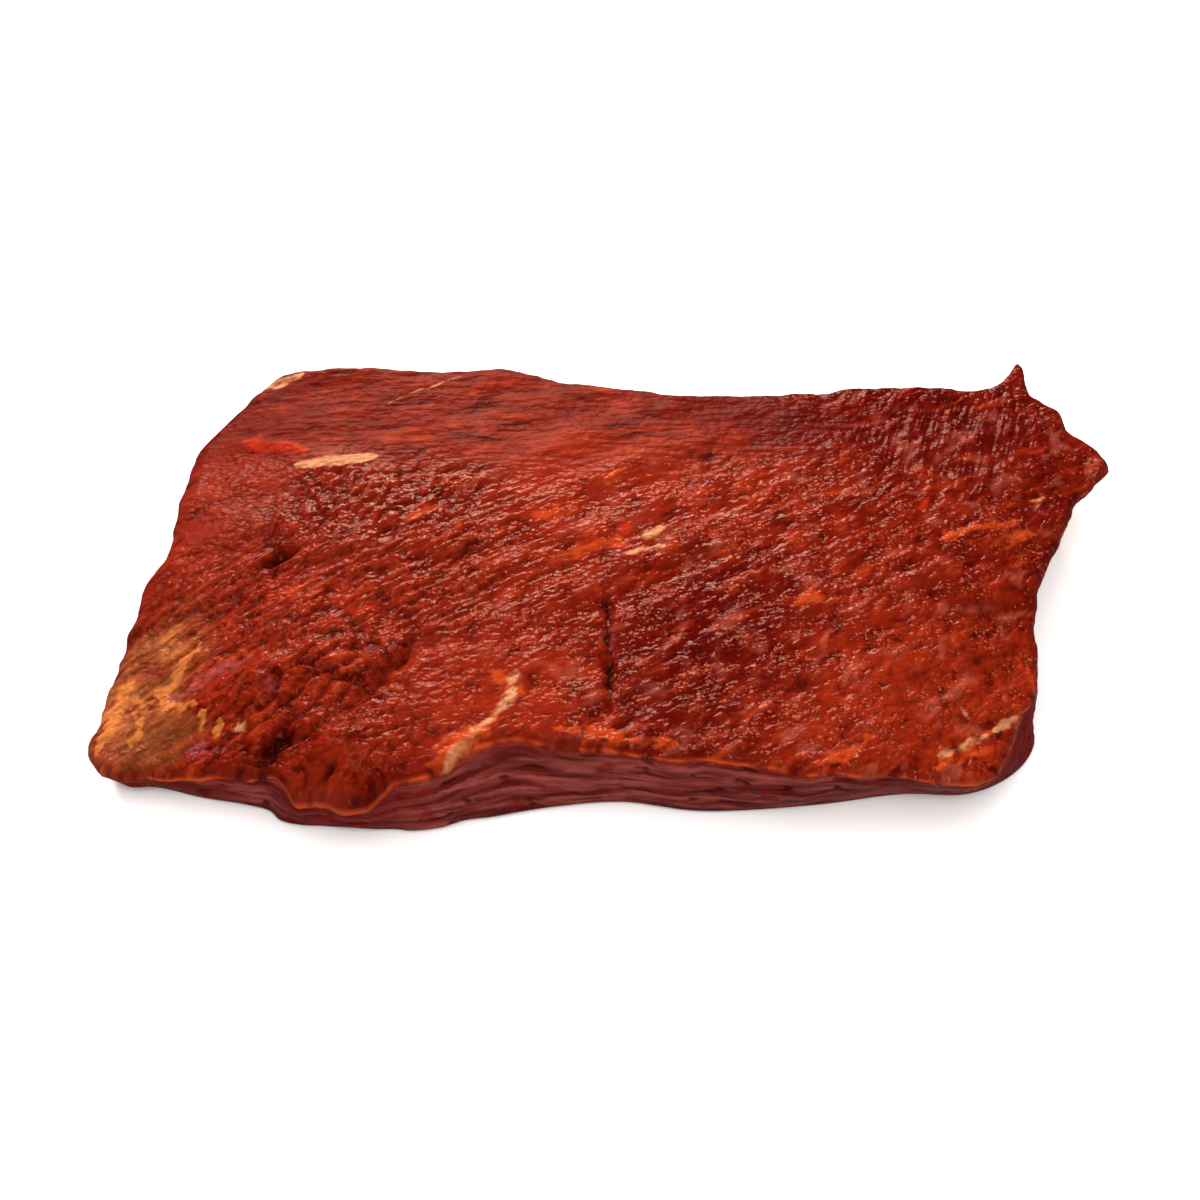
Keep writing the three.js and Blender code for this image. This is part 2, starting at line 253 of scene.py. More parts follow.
def mound(x, y, centre_x, centre_y, half_length, half_width, turn):
    """Oval bell of height 1: e to the minus squared distance in half sizes."""
    along, across = turned(x, y, centre_x, centre_y, turn)
    return np.exp(-((along / half_length) ** 2) - (across / half_width) ** 2)


def patch(x, y, centre_x, centre_y, half_length, half_width, turn, edge=0.35):
    """Oval area that is 1 inside and eases to 0 over a soft edge."""
    along, across = turned(x, y, centre_x, centre_y, turn)
    reach = np.hypot(along / half_length, across / half_width)
    return ease((1 + edge - reach) / (2 * edge))


def line_distance(x, y, points):
    """Distance to the nearest point of a line of straight pieces, and its share of the length."""
    points = np.array(points, float)
    lengths = np.linalg.norm(np.diff(points, axis=0), axis=1)
    passed = np.append(0, np.cumsum(lengths))
    nearest = np.full(np.shape(x), np.inf)
    share = np.zeros(np.shape(x))
    for start, end, length, before in zip(points[:-1], points[1:], lengths, passed):
        dx, dy = (end - start) / length
        along = np.clip((x - start[0]) * dx + (y - start[1]) * dy, 0, length)
        distance = np.hypot(x - start[0] - along * dx, y - start[1] - along * dy)
        share = np.where(distance < nearest, (before + along) / passed[-1], share)
        nearest = np.minimum(nearest, distance)
    return nearest, share


def groove(x, y, depth, half_width, points):
    """Bell-shaped groove along a line, of uneven depth and fading to nothing at both of its ends."""
    distance, share = line_distance(x, y, points)
    uneven = 0.85 + 0.45 * slope_noise(x / 5, y / 5, 47)
    ends = ease(share * 4) * ease((1 - share) * 4)
    return depth * uneven * np.exp(-((distance / half_width) ** 2)) * ends


def lattice_share(column, row, seed):
    """Repeatable number from 0 to 1 for each lattice point, from multiplied and shifted numbers."""
    mixed = column.astype(np.int64) * 374761393 + row.astype(np.int64) * 668265263 + seed * 144665
    mixed = mixed & 0xFFFFFFFF
    mixed = ((mixed ^ (mixed >> 13)) * 1274126177) & 0xFFFFFFFF
    mixed = mixed ^ (mixed >> 16)
    return (mixed & 0xFFFF) / 65536


def slope_noise(x, y, seed):
    """Smooth noise of about -1 to 1: slopes at the lattice points, blended by a quintic ease."""
    column, row = np.floor(x), np.floor(y)
    fx, fy = x - column, y - row
    ease_x = fx**3 * (fx * (fx * 6 - 15) + 10)
    ease_y = fy**3 * (fy * (fy * 6 - 15) + 10)

    def corner(step_x, step_y):
        angle = 2 * math.pi * lattice_share(column + step_x, row + step_y, seed)
        return (fx - step_x) * np.cos(angle) + (fy - step_y) * np.sin(angle)

    near = corner(0, 0) * (1 - ease_x) + corner(1, 0) * ease_x
    far = corner(0, 1) * (1 - ease_x) + corner(1, 1) * ease_x
    return 1.6 * (near * (1 - ease_y) + far * ease_y)


def layered_noise(x, y, seed):
    """Three slope noises of halving size and height, added."""
    first = slope_noise(x, y, seed) + 0.5 * slope_noise(2.03 * x, 2.03 * y, seed + 1)
    return first + 0.25 * slope_noise(4.1 * x, 4.1 * y, seed + 2)


def along_grain(x, y, turn, length, width, seed):
    """Places turned to the grain, swaying slightly, and measured in cells of a length by a width."""
    sway = 0.8 * width * slope_noise(x / 23, y / 23, seed + 50)
    sway = sway + 0.3 * width * slope_noise(x / 7, y / 7, seed + 60)
    along, across = turned(x, y, 0, 0, turn)
    return along / length, (across + sway) / width


def grain_noise(x, y, turn, length, width, seed):
    """Slope noise stretched along a direction: one cell is a fibre bundle's length by its width."""
    return slope_noise(*along_grain(x, y, turn, length, width, seed), seed)


def layered_grain(x, y, turn, length, width, seed):
    """Layered noise stretched along a direction in the same way."""
    return layered_noise(*along_grain(x, y, turn, length, width, seed), seed)


def cushions(x, y, turn, length, width, seed):
    """Rounded cushions parted by narrow creases.

    One random point lies in each cell. The height is 1 less e to the minus 4 times the gap
    between the distances to the nearest and the second nearest of these points."""
    x, y = along_grain(x, y, turn, length, width, seed)
    column, row = np.floor(x), np.floor(y)
    nearest = np.full(np.shape(x), 9.0)
    second = nearest
    for step_x in (-1, 0, 1):
        for step_y in (-1, 0, 1):
            point_x = column + step_x + lattice_share(column + step_x, row + step_y, seed)
            point_y = row + step_y + lattice_share(column + step_x, row + step_y, seed + 7)
            distance = np.hypot(point_x - x, point_y - y)
            second = np.minimum(second, np.maximum(nearest, distance))
            nearest = np.minimum(nearest, distance)
    return 1 - np.exp(4 * (nearest - second))


def ripples(x, y):
    """Long low ripples left by the muscle grain: two slow sines whose lines bend."""
    along_back = (0.34 * x - 0.94 * y + 5 * np.sin(x / 31)) / 2.9
    along_front = (0.62 * x + 0.78 * y + 4 * np.sin(y / 17)) / 4.3
    first = 0.4 * np.sin(along_back) * (0.6 + 0.4 * np.sin(x / 19 + 1))
    return first + 0.35 * np.sin(along_front + 1.7 * np.sin(x / 37))


def zones(x, y):
    """How much each place belongs to each kind of meat surface, from 0 to 1.

    Each kind is an oval over places that a slow noise pushes about, weakened where another kind
    takes over. The granular kind is a smooth step from the left to the right."""
    x, y = x + 5 * slope_noise(x / 21, y / 21, 45), y + 4 * slope_noise(x / 17, y / 17, 46)
    zone = {name: patch(x, y, *sizes) for name, sizes in ZONE_OVALS.items()}
    zone["crinkled"] = zone["crinkled"] + 0.8 * zone.pop("crinkled fold")
    zone["slanted"] = zone["slanted"] * (1 - 0.8 * zone["crinkled"])
    granular = ease((x + 62 + 0.55 * y) / 45) * (1 - 0.85 * zone["back"])
    zone["granular"] = granular * (1 - 0.5 * zone["smooth"])
    return zone


def grain_relief(x, y, zone):
    """Fine relief and its creases: for each zone its own noises and cushions, weighted by the zone.

    A crease is the square of what a cushion lacks to its full height; it sets the painted shade in the
    crease."""
    bundles, clumps, lumps = (cushions(x, y, *pattern) for pattern in (BUNDLES, CLUMPS, LUMPS))
    folds, crumples = cushions(x, y, *FOLDS), cushions(x, y, *CRUMPLES)
    back = 0.3 * grain_noise(x, y, *BACK_ROWS) + 0.17 * grain_noise(x, y, *NARROW_BACK_ROWS)
    slant = bundles + 0.8 * grain_noise(x, y, *SLANTED_ROWS) - 0.55
    knobs = 2.3 * lumps + 0.4 * crumples - 1.7
    slant = slant * (1 - 0.6 * zone["lumpy"]) + knobs * zone["lumpy"]
    upright = 0.5 * grain_noise(x, y, *UPRIGHT_ROWS)
    crinkles = 1.15 * folds + 0.4 * crumples - 1.1
    grains = 0.6 * grain_noise(x, y, *GRAINED_ROWS) + 0.6 * clumps - 0.45
    coarse = 0.2 + 0.6 * zone["granular"]
    height = back * zone["back"] + slant * zone["slanted"] + upright * zone["upright"]
    height = (height + crinkles * zone["crinkled"] + grains * coarse) * (1 - 0.5 * zone["smooth"])
    crease_shade = 1.3 * (1 - bundles) ** 2 * zone["slanted"]
    crease_shade = crease_shade + 0.45 * (1 - clumps) ** 2 * coarse * (1 - zone["smooth"])
    crease_shade = crease_shade + ((1 - folds) ** 2 + 0.6 * (1 - crumples) ** 2) * zone["crinkled"]
    crease_shade = crease_shade * (1 - zone["lumpy"]) + 1.2 * (1 - lumps) ** 2 * zone["lumpy"]
    return height + 0.35 * slope_noise(x / 13, y / 13, 20), crease_shade


def wandering(x, y):
    """Places pushed about by two slow noises, so that what is drawn there gets a wandering border."""
    push_x = 1.5 * slope_noise(x / 9, y / 9, 41) + 0.7 * slope_noise(x / 3.7, y / 3.7, 42)
    push_y = 1.5 * slope_noise(x / 9, y / 9, 43) + 0.7 * slope_noise(x / 3.7, y / 3.7, 44)
    return x + push_x, y + push_y


def upper_face(x, y, detail, fine):
    """Height of the upper face: form, ripples, mounds, hollows, seams, cracks and the fine relief."""
    z = face_height(x, y) + ripples(x, y)
    for centre_x, centre_y, height, *size in HILLS:
        z = z + height * mound(x, y, centre_x, centre_y, *size)
    x, y = wandering(x, y)
    for centre_x, centre_y, depth, *size in HOLLOWS:
        z = z - depth * mound(x, y, centre_x, centre_y, *size)
    for seam in SEAMS:
        z = z - groove(x, y, *seam)
    for crack in CRACKS:
        z = z - fine * groove(x, y, *crack)
    return z + fine * detail


def edge_fall(distance, drop):
    """Quarter ellipse that leaves the face level and ends upright at the rim, one drop lower."""
    q = np.clip(1 - distance / (EDGE_REACH * drop), 0, 1)
    return drop * (1 - np.sqrt(1 - q * q))


def blend_sides(front, right, back, left, u, v):
    """Coons patch: both linear blends between facing sides, less the blend of the four corners."""
    u, v = u[:, None, None], v[None, :, None]
    across = (1 - v) * front[:, None] + v * back[:, None]
    along = (1 - u) * left[None] + u * right[None]
    near_corners = (1 - u) * front[0] + u * front[-1]
    far_corners = (1 - u) * back[0] + u * back[-1]
    return across + along - (1 - v) * near_corners - v * far_corners


def rim_of(grid):
    """The outer ring of a grid, anticlockwise from its first corner."""
    return np.concatenate([grid[:-1, 0], grid[-1, :-1], grid[:0:-1, -1], grid[0, :0:-1]])


def outward_directions(ring):
    """Unit directions out of a closed ring: its central differences, turned by a right angle."""
    step = np.roll(ring, -1, axis=0) - np.roll(ring, 1, axis=0)
    out = np.stack([step[:, 1], -step[:, 0]], axis=1)
    return out / np.linalg.norm(out, axis=1, keepdims=True)


def wall_rows(rim, foot, outward, around):
    """Rows from the rim to the foot: straight blends, pushed out by a swell, layers and nicks.

    Each row comes with the height of its own relief."""
    closing = ease(np.minimum(around, around[-1] - around) / 8)
    rows, reliefs = [], []
    for share in np.arange(1, WALL_ROWS + 1) / WALL_ROWS:
        height = rim[:, 2] + (FOOT_ROUND - rim[:, 2]) * share
        swell = 4 * share * (1 - share)
        layers = 0.5 * slope_noise(around / 30, height / 3.6, 31)
        layers = layers + 0.45 * slope_noise(around / 14, height / 2.2, 32)
        nicks = ease((slope_noise(around / 6.5, height / 2.6, 33) - 0.38) / 0.25)
        lobes = 1.1 * slope_noise(around / 19, 0.4 * share + 0 * around, 34)
        relief = closing * (layers - 1.1 * nicks)
        push = swell * WALL_BULGE * rim[:, 2] + np.sqrt(swell) * (relief + closing * lobes)
        place = rim[:, :2] * (1 - share) + foot * share + outward * push[:, None]
        rows.append(np.column_stack([place, height]))
        reliefs.append(relief)
    return rows, reliefs


def foot_rows(foot, outward):
    """Quarter circle that turns the wall under onto the floor."""
    rows = []
    for share in np.arange(1, FOOT_ROWS + 1) / FOOT_ROWS:
        angle = share * math.pi / 2
        place = foot - outward * FOOT_ROUND * (1 - math.cos(angle))
        height = FOOT_ROUND * (1 - math.sin(angle)) if share < 1 else 0.0
        rows.append(np.column_stack([place, np.full(len(foot), height)]))
    return rows


def grain_places(x, y, zone):
    """Places along and across the fibres: each point takes the fibre direction of its strongest zone.

    Also 1 at each point whose neighbours all share its direction, and 0 elsewhere."""
    strength = np.stack([zone["back"], zone["upright"], 0 * x + 0.3])
    choice = np.argmax(strength, axis=0)
    places = turned(x, y, 0, 0, np.array(FIBRE_TURNS)[choice])
    calm = np.zeros(x.shape)
    inner = choice[1:-1, 1:-1]
    same = np.ones(inner.shape, bool)
    rows, columns = choice.shape
    for step_x in range(3):
        for step_y in range(3):
            same &= choice[step_x:rows - 2 + step_x, step_y:columns - 2 + step_y] == inner
    calm[1:-1, 1:-1] = same
    return places, calm


def near_rims(plan, edges):
    """Distance to the nearest rim, that rim's drop, and the fall of the face towards all four rims.

    The fall is the fourth root of the added fourth powers of the falls of the sides."""
    nearest, drop, powers = np.inf, 0, 0
    for edge in edges:
        distance = np.linalg.norm(plan - edge[..., :2], axis=2)
        drop = np.where(distance < nearest, edge[..., 2], drop)
        nearest = np.minimum(nearest, distance)
        powers = powers + edge_fall(distance, edge[..., 2]) ** CORNER_BLEND
    return nearest, drop, powers ** (1 / CORNER_BLEND)


def slab_faces(index, ring_size, ring_count):
    """Four-sided faces of a grid and of the rings that follow its rim downwards, and the last ring."""
    corners = [index[:-1, :-1], index[1:, :-1], index[1:, 1:], index[:-1, 1:]]
    quads = [np.stack(corners, -1).reshape(-1, 4)]
    upper = rim_of(index)
    for number in range(ring_count):
        lower = index.size + number * ring_size + np.arange(ring_size)
        quads.append(np.stack([upper, lower, np.roll(lower, -1), np.roll(upper, -1)], -1))
        upper = lower
    return np.concatenate(quads), upper


def slab_skin():
    """Points and faces of the closed slab, with the values and places that only its building knows."""
    front, right, back, left = sample_outline()
    foot = np.concatenate([side[:-1, 3:] for side in (front, right, back, left)])
    back, left = back[::-1], left[::-1]
    rims = [side[:, :2] for side in (front, right, back, left)]
    plan = blend_sides(*rims, shares(CELLS_ALONG), shares(CELLS_ACROSS))
    x, y = plan[..., 0], plan[..., 1]
    edges = (front[:, None], back[:, None], left[None], right[None])
    nearest, drop, fall = near_rims(plan, edges)
    zone = zones(x, y)
    fine = ease(nearest / FINE_REACH) * (1 - RIM_RELIEF) + RIM_RELIEF
    detail, crease_shading = grain_relief(x, y, zone)
    upper = np.dstack([plan, upper_face(x, y, detail, fine) - fall])
    rim = rim_of(upper)
    outward = outward_directions(foot)
    around = np.append(0, np.cumsum(np.linalg.norm(np.diff(rim[:, :2], axis=0), axis=1)))
    walls, reliefs = wall_rows(rim, foot, outward, around)
    rows = walls + foot_rows(foot, outward)
    points = np.concatenate([upper.reshape(-1, 3)] + rows)
    quads, lowest = slab_faces(np.arange(x.size).reshape(x.shape), len(rim), len(rows))

    places, calm = grain_places(x, y, zone)
    ends = np.ones(len(rim))
    ends[[0, -1]] = 0
    wall_calm = [ends * (0 < number < len(rows) - 1) for number in range(len(rows))]
    down = np.minimum(1, np.arange(1, len(rows) + 1) / WALL_ROWS)
    side = np.zeros(len(rim) * len(rows))
    values = {
        "down": np.append(np.zeros(x.size), np.repeat(down, len(rim))),
        "inward": np.append(np.hypot(nearest, drop - fall).ravel(), side),
        "relief": np.concatenate([detail.ravel()] + reliefs + [0 * around] * FOOT_ROWS),
        "crease_shade": np.append(crease_shading.ravel(), side),
        "calm": np.concatenate([calm.ravel()] + wall_calm),
        "around": np.append(np.zeros(x.size), np.tile(around, len(rows))),
    }
    along = np.concatenate([places[0].ravel()] + [around] * len(rows))
    across = np.concatenate([places[1].ravel()] + [row[:, 2] for row in rows])
    spread = [plan.reshape(-1, 2)]
    for number, row in enumerate(rows):
        depth = rim[:, 2] - row[:, 2] + max(0, number + 1 - WALL_ROWS) * FOOT_STEP
        spread.append(rim[:, :2] + outward * depth[:, None])
    spread = np.concatenate(spread)
    cells = spread.T / SPREAD_SWAY_CELL
    sway = np.column_stack([slope_noise(*cells, seed) for seed in (91, 92)])
    spread = spread + SPREAD_SWAY * sway
    vectors = {"fibre_place": np.column_stack([along, across, 0 * along]),
               "spread_place": np.column_stack([spread, 0 * along])}
    return points, quads, lowest[::-1], values, vectors


# Marks on the upper face: (half width, points along the mark).
FAT_MARKS = [
    (3.6, [(12.5, 10.5), (18, 14)]), (2.4, [(7, 4.4), (18.5, 7.4)]),
    (2.4, [(-22, -37.5), (-24.5, -42.5)]), (3.0, [(-23, -43), (-27, -50)]),
    (2.0, [(-27, -49), (-34, -59), (-43, -69)]), (2.4, [(114, -48), (107, -52.5)]),
    (1.8, [(105, -54), (97, -59), (91, -62.5)]), (3.2, [(-102, 76.5), (-91, 79.5)]),
    (0.45, [(-64, 65), (-54, 71), (-41.5, 77)]), (2.6, [(-99, -50), (-96.5, -52.5)]),
    (1.0, [(98, -47), (101, -50)]), (1.3, [(94.6, 30.6), (96, 33)]),
]
AMBER_MARKS = [
    (2.6, [(-112, -22), (-117, -29.5), (-122, -36)]),
    (2.4, [(-124, -37.5), (-117, -40.5), (-110.5, -41.5)]), (1.3, [(-110, -42), (-109.7, -51)]),
    (2.8, [(-138, -52), (-137, -41.5), (-131, -31)]),
    (1.8, [(-133, -34), (-126, -37), (-119, -34)]), (1.3, [(-131, -38), (-127, -44), (-129, -52)]),
    (1.4, [(-104, -47), (-106, -52)]), (0.8, [(-40.7, -24.8), (-39.8, -24.4)]),
    (1.7, [(125, 26.5), (129.5, 28)]),
]
ORANGE_MARKS = [
    (5.5, [(-29, -53), (-38, -63), (-47, -71)]), (4.0, [(-30, -38), (-20, -47)]),
    (3.5, [(-12, -57), (8, -60), (24, -62)]), (1.1, [(0, 33), (9, 36.5)]),
    (0.9, [(4, 22), (5, 25)]), (1.3, [(29, 7.5), (34, 11)]), (1.1, [(105, 62), (110.5, 69)]),
    (0.9, [(88, 25.5), (97, 30.5)]), (4.2, [(97, 10), (108, 15)]), (2.0, [(109, 13), (120, 17)]),
    (1.6, [(112, 7), (124, 14)]), (2.6, [(54, -16.5), (60, -13), (67, -11.5)]),
    (2.2, [(57, -71), (65, -65), (73, -58.5)]), (1.4, [(60, -28), (66, -23)]),
    (3.0, [(-14, 4), (0, 8), (8, 8)]), (1.8, [(-25, 15), (-12, 22)]),
    (1.6, [(110, -50), (90, -66)]), (2.0, [(119, -30), (121, -38)]),
    (3.5, [(-96, -28), (-114, -35)]), (2.4, [(-58, 14), (-46, 22)]), (1.2, [(-95, -10), (-78, -4)]),
]
SLIVER_MARKS = [(2.5, [(-89.5, 39.7), (-77, 40.6), (-65.5, 42.6)])]
VIVID_MARKS = [
    (2.8, [(6.5, 11.5), (8.5, 15)]), (1.6, [(2, 6.5), (7, 8)]),
    (3.6, [(-106, 52.5), (-98, 48.5), (-86, 46.4)]), (1.3, [(-71, -17), (-62, -15)]),
    (1.2, [(115, -30), (121.5, -34)]), (1.5, [(92, 20), (95, 26)]),
]
MEMBRANE_MARKS = [
    (2.4, [(-121, -37.5), (-113.5, -35.5), (-106.5, -32.5), (-97, -29.5)]),
    (2.6, [(-112, -56), (-102, -57)]), (1.6, [(26, 28.5), (28, 31)]),
    (1.0, [(21, 21.5), (22.5, 23)]), (1.0, [(3, -27), (3.2, -30)]),
    (1.2, [(12.6, -56), (12.6, -60)]), (2.2, [(-92, -38), (-88.5, -42)]),
    (1.2, [(127, 33.5), (127.5, 36)]), (1.6, [(-97, 3.5), (-102, 5.5)]),
]

# Roughness of the gloss: everywhere, and added for each kind of surface.
DULLNESS = 0.3
ZONE_DULLNESS = {
    "back": 0.27, "granular": -0.04, "crinkled": -0.06, "upright": 0.08, "slanted": -0.05,
    "lumpy": -0.02,
}
LEFT_DULLNESS = 0.1


def mark_field(x, y, marks):
    """1 on the middle line of the nearest mark, 0 at its edge and below 0 outside, down to -2.

    Each mark narrows towards its two ends like a leaf."""
    field = np.full(np.shape(x), -2.0)
    for half_width, points in marks:
        distance, share = line_distance(x, y, points)
        leaf = 0.3 + 0.7 * np.sqrt(4 * share * (1 - share))
        field = np.maximum(field, 1 - distance / (half_width * leaf))
    return field


def mark_fields(x, y, pushed_x, pushed_y, ragged):
    """Fields of all the marks. The softer a mark's border, the more it lies on pushed places."""
    def partly(share):
        return (1 - share) * x + share * pushed_x, (1 - share) * y + share * pushed_y

    marks = {"amber": AMBER_MARKS, "orange": ORANGE_MARKS, "membrane": MEMBRANE_MARKS}
    fields = {name: mark_field(pushed_x, pushed_y, lines) + ragged for name, lines in marks.items()}
    fat = mark_field(*partly(0.4), FAT_MARKS) + 0.4 * ragged
    fields["fat"] = np.maximum(fat, 4 * mark_field(*partly(0.15), SLIVER_MARKS))
    fields["vivid"] = mark_field(*partly(0.4), VIVID_MARKS) + 0.3 * ragged
    return fields


def added_ovals(x, y, ovals):
    """Sum of soft ovals, each times its amount."""
    return sum(amount * patch(x, y, *sizes) for amount, *sizes in ovals)


def coarseness(x, y, zone):
    """Height of the finest bumps: clusters of a layered noise, more or less by the kind of surface."""
    clusters = ease(0.5 + 0.9 * layered_noise(x / 11, y / 8, 73))
    rough = (0.15 + 0.85 * clusters) * (1 - 0.7 * zone["back"]) * (1 - 0.4 * zone["smooth"])
    rough = rough + 0.6 * patch(x, y, *ROUGH_FOLD) + 0.5 * zone["lumpy"] + 0.25 * zone["slanted"]
    rough = rough * (1 - 0.35 * zone["crinkled"]) * (1 - 0.15 * zone["slanted"])
    return rough * (1 - 0.6 * zone["upright"])


def hole_shading(x, y):
    """Painted shade in the hollows: the depth of the first hollows in shares of 5 mm, plus half the
    depth of the narrow cracks.
    """
    dark = 0 * x
    for centre_x, centre_y, depth, *size in HOLLOWS[:SHADED_HOLLOWS]:
        dark = dark + depth / 5 * mound(x, y, centre_x, centre_y, *size)
    for depth, half_width, line in CRACKS:
        dark = dark + groove(x, y, depth / 2, half_width, line)
    return dark


def lit_rim_line(x, y, inward, down, blotches):
    """Painted lit line along the rim, orange as where the thin edge catches the light: bells of the
    distance inwards and of the share down the side.

    Blotches break it. It is whole and wider at the lip of the fold, and weaker at the back."""
    lip = patch(x, y, *FOLD_LIP)
    line = np.exp(-((inward / (0.8 + 0.4 * lip)) ** 2))
    line = line * np.exp(-((down / (0.03 + 0.02 * lip)) ** 2))
    whole = np.maximum(ease(0.55 + 1.2 * blotches), 0.85 * lip)
    return line * whole * (1 - 0.6 * ease((y - 20) / 30))


def surface_values(points, built):
    """Named values of every point that the material reads."""
    x, y, z = points.T
    down, around = built["down"], built["around"]
    on_top = 1 - ease(down / 0.1)
    zone = zones(x, y)
    clouds = layered_noise(x / 24, y / 17, 61)
    blotches, streaks = layered_grain(x, y, *BLOTCHES), layered_grain(x, y, *STREAKS)
    spots = 0.3 * blotches * (1 + zone["granular"]) + 0.3 * streaks * (1 - zone["back"])
    spots = spots + 0.85 * layered_grain(x, y, *BACK_STREAKS) * zone["back"]
    pushed_x, pushed_y = wandering(x, y)
    ragged = 0.45 * blotches + 0.4 * streaks
    ragged = ragged + 0.5 * slope_noise(pushed_x / 2.2, pushed_y / 1.8, 85)
    warm = added_ovals(pushed_x, pushed_y, WARM_OVALS) + 0.2 * zone["back"]
    dull = LEFT_DULLNESS * patch(pushed_x, pushed_y, *DULL_LEFT)
    return {
        **{name: zone[name] for name in ("back", "slanted", "granular", "upright")},
        **{name: built[name] for name in ("down", "calm", "crease_shade")},
        **mark_fields(x, y, pushed_x, pushed_y, ragged),
        "blotches": blotches,
        "streaks": streaks,
        "side_streaks": layered_noise(around / 34, z / 3.4, 79),
        "side_blots": layered_noise(around / 9, z / 4.2, 82),
        "rough": coarseness(x, y, zone),
        "dull": DULLNESS + dull + sum(amount * zone[name] for name, amount in ZONE_DULLNESS.items()),
        "wet": ease(0.5 + 0.7 * layered_noise(x / 11, y / 8, 76)),
        "film": ease((layered_grain(x, y, *FILMS) - 0.35) / 0.5) * zone["granular"],
        # Ruddy sides, and painted shade under the fold's flap.
        "ruddy_and_shade": added_ovals(x, y, RUDDY_AND_SHADE_OVALS),
        "warm": warm + 0.5 * clouds + 0.25 * blotches,
        "shade": added_ovals(pushed_x, pushed_y, SHADE_OVALS) + 0.35 * clouds,
        # Half the relief, which sets painted light on crests and painted shade in dips, plus random
        # spots of tone on top.
        "tone": 0.5 * built["relief"] + spots * on_top,
        # Painted shade in the hollows and cracks.
        "hollow_shade": np.clip(hole_shading(pushed_x, pushed_y) * on_top, 0, 1.5),
        # Painted light: a lit orange line along the rim.
        "edge": lit_rim_line(pushed_x, pushed_y, built["inward"], down, blotches),
        "brown": patch(pushed_x, pushed_y, *BROWN_END),
        "scab": patch(pushed_x, pushed_y, *DRIED_SCAB),
    }


def beef_slab():
    """The slab as one smooth-shaded mesh in metres, with its named values as attributes."""
    points, quads, underside, built, vectors = slab_skin()
    placed = points.copy()
    placed[:, :2] -= CENTRE
    mesh = bpy.data.meshes.new("beef_slab")
    mesh.from_pydata(placed * MM, [], quads.tolist() + [underside.tolist()])
    mesh.polygons.foreach_set("use_smooth", np.ones(len(mesh.polygons), bool))
    for name, values in surface_values(points, built).items():
        attribute = mesh.attributes.new(name, "FLOAT", "POINT")
        attribute.data.foreach_set("value", np.ascontiguousarray(values, dtype=np.float32))
    for name, places in vectors.items():
        attribute = mesh.attributes.new(name, "FLOAT_VECTOR", "POINT")
        attribute.data.foreach_set("vector", np.ascontiguousarray(places, dtype=np.float32).ravel())
    mesh.update()
    slab = bpy.data.objects.new("beef_slab", mesh)
    bpy.context.scene.collection.objects.link(slab)
    return slab


# Colours as a screen shows them, each part from 0 to 255
COLOURS = {
    "deep lean": (76, 3, 1), "warm lean": (121, 28, 8), "shaded lean": (70, 2, 1),
    # deep and warm lit crest: painted light on crests; dip shade and crease shade: painted shade in
    # dips and creases
    "deep lit crest": (124, 18, 6), "warm lit crest": (166, 60, 24), "dip shade": (54, 2, 1), "crease_shade": (58, 4, 1),
    # grain: pale specks of fat, lightened further to stand in for glints, partly painted glints
    "streak": (160, 50, 16), "film": (160, 78, 62), "grain": (176, 82, 54),
    # pale side and sheen: pinkish layers, partly a painted sheen; side nick shade: painted shade in
    # nicks; ruddy side: also painted shade under the flap
    "deep side": (76, 15, 13), "pale side and sheen": (134, 60, 53), "side blot": (104, 8, 6),
    "side nick shade": (52, 3, 3), "ruddy side": (96, 8, 5),
    "deep tan": (110, 45, 18), "pale tan": (164, 96, 52), "scab": (104, 50, 22),
    "deep fat": (152, 90, 55), "pale fat": (186, 134, 94), "orange": (184, 66, 20),
    "vivid": (168, 36, 12), "amber": (188, 110, 50), "membrane": (142, 60, 68),
    # rim: a painted lit line along the edge; hole shade: painted shade in hollows and cracks
    "rim": (186, 68, 24), "hole shade": (34, 2, 1),
}


def paint(name):
    """A named colour, turned from what a screen shows into linear light."""
    seen = np.array(COLOURS[name]) / 255
    light = np.where(seen <= 0.04045, seen / 12.92, ((seen + 0.055) / 1.055) ** 2.4)
    return (*light.tolist(), 1.0)


class Field:
    """One number flowing through a material, so that sums and products read as plain arithmetic."""

    def __init__(self, finish, socket):
        self.finish = finish
        self.socket = socket

    def _combine(self, operation, first, second):
        node = self.finish.node("ShaderNodeMath", {"operation": operation}, {0: first, 1: second})
        return Field(self.finish, node.outputs[0])

    def __add__(self, other):
        return self._combine("ADD", self, other)

    def __radd__(self, other):
        return self._combine("ADD", other, self)

    def __sub__(self, other):
        return self._combine("SUBTRACT", self, other)

    def __rsub__(self, other):
        return self._combine("SUBTRACT", other, self)

    def __mul__(self, other):
        return self._combine("MULTIPLY", self, other)

    def step(self, low, high):
        """Smooth step of this value between two levels."""
        node = self.finish.node(
            "ShaderNodeMapRange", {"interpolation_type": "SMOOTHSTEP"},
            {"Value": self, "From Min": low, "From Max": high},
        )
        return Field(self.finish, node.outputs[0])


